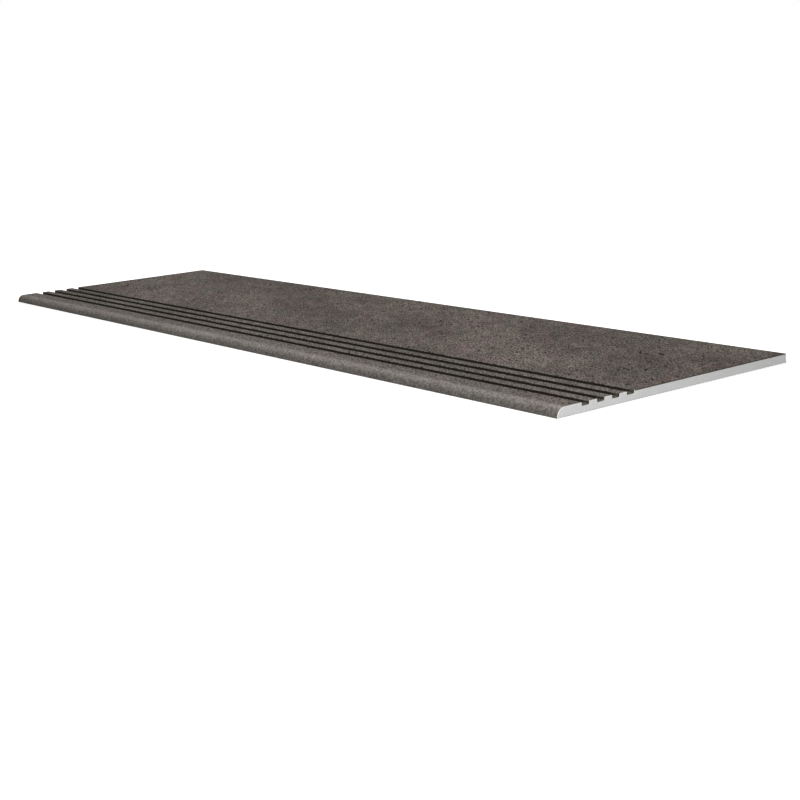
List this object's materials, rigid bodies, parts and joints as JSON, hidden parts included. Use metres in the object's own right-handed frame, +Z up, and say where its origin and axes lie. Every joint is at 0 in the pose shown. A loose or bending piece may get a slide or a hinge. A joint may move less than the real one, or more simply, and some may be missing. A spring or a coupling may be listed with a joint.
{
  "type": "stair nosing tile",
  "caption": "Long glazed porcelain stair tread tile with a rounded front nose and anti-slip grooves along it, and a keyed underside for adhesive.",
  "frame": {"origin": "under the middle of the slab, on the face that it rests on", "axes": "+X along the step, +Y from the nose to the back edge, +Z up out of the tread"},
  "size_m": [1.2, 0.33, 0.01],
  "materials": {
    "glazed_porcelain": "matte"
  },
  "bodies": {
    "root": {"stair_nosing_tile": "glazed_porcelain"}
  },
  "joints": []
}
